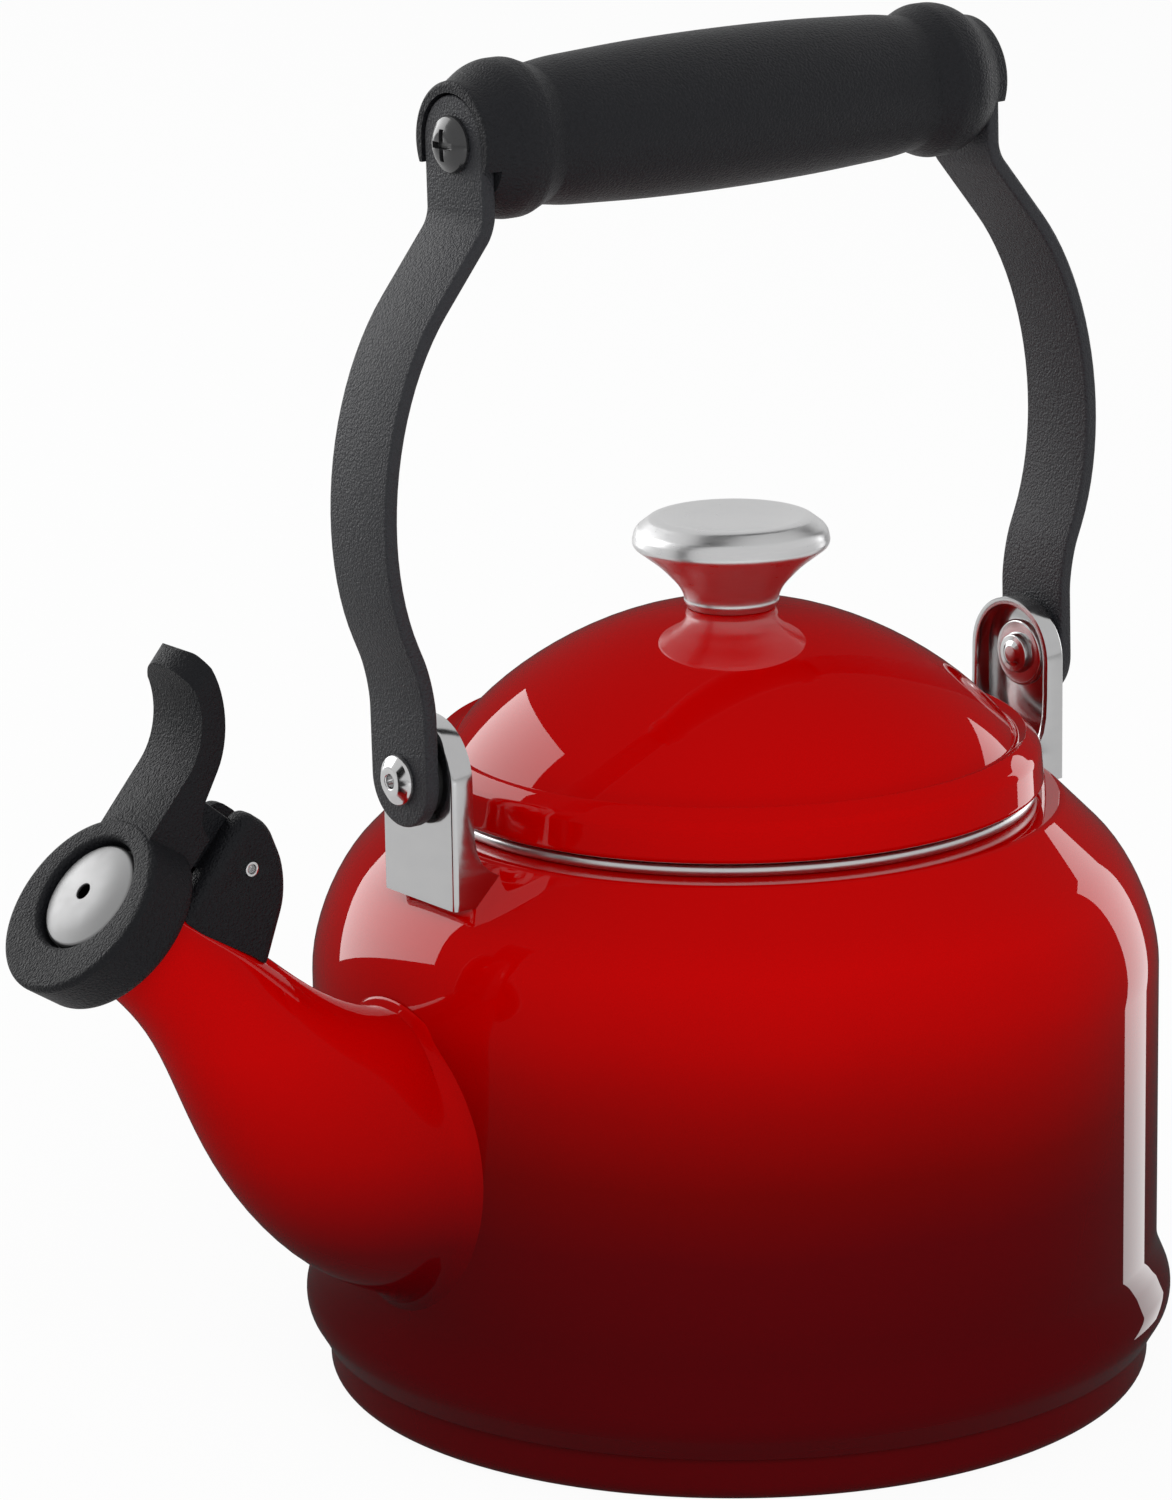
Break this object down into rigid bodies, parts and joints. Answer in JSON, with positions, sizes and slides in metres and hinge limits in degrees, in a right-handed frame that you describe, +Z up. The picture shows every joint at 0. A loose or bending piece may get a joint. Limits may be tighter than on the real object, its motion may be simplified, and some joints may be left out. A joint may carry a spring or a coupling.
{
  "type": "stovetop whistling kettle",
  "caption": "Round enamelled stovetop kettle with a domed lift-off lid, an upward spout closed by a hinged whistle cap with a thumb lever, and a swinging bail handle with a moulded grip.",
  "frame": {"origin": "centre of the flat base, on the axis of the round body, at the level the kettle stands on", "axes": "+Z up along the body axis; the spout points along -X, so the handle and the spout lie in the XZ plane; +Y completes the right-handed frame, and the shape is the same on both sides of y = 0"},
  "size_m": [0.2185, 0.15, 0.2324],
  "materials": {
    "red_enamel": "glossy vitreous enamel, cherry red fading to burgundy at the base",
    "dark_enamel": "glossy dark burgundy enamel",
    "stainless": "satin to polished stainless steel",
    "black_coat": "fine textured black powder coat on steel strip",
    "black_resin": "fine grained black heat-resistant resin",
    "seal_rubber": "matt silicone or fibre",
    "brass": "turned"
  },
  "bodies": {
    "kettle": {"body_shell": "red_enamel", "base_pan": "dark_enamel", "opening_rim": "stainless", "spout": "red_enamel", "front_bracket": "stainless", "rear_bracket": "stainless", "pivot_rivets": "stainless", "rivet_washers": "stainless", "friction_washers": "seal_rubber", "whistle_bracket": "black_resin", "bracket_stud": "stainless", "whistle_pin": "stainless", "whistle_spring": "stainless"},
    "bail": {"front_strap": "black_coat", "rear_strap": "black_coat", "grip": "black_resin", "grip_inserts": "brass", "grip_screws": "black_coat"},
    "lid": {"lid_shell": "red_enamel", "lid_skirt": "stainless", "lid_knob": "stainless", "knob_washer": "seal_rubber", "knob_screw": "stainless"},
    "whistle": {"whistle_cap": "black_resin", "whistle_front_disc": "stainless", "whistle_rear_disc": "stainless", "whistle_seal": "seal_rubber"}
  },
  "joints": [
    {"name": "bail_swing", "type": "hinge", "parent": "kettle", "child": "bail", "pos_m": [0, 0, 0.1158], "axis": [1, 0, 0], "range_deg": [-108.7, 111.3]},
    {"name": "lid_lift", "type": "slide", "parent": "kettle", "child": "lid", "axis": [0, 0, 1], "range_m": [0, 0.05]},
    {"name": "whistle_open", "type": "hinge", "parent": "kettle", "child": "whistle", "pos_m": [-0.10342, 0, 0.10836], "axis": [0, 1, 0], "range_deg": [0, 55], "stiffness_Nm_per_rad": 0.015, "springref_deg": -45.84, "deforming": ["whistle_spring"]}
  ]
}
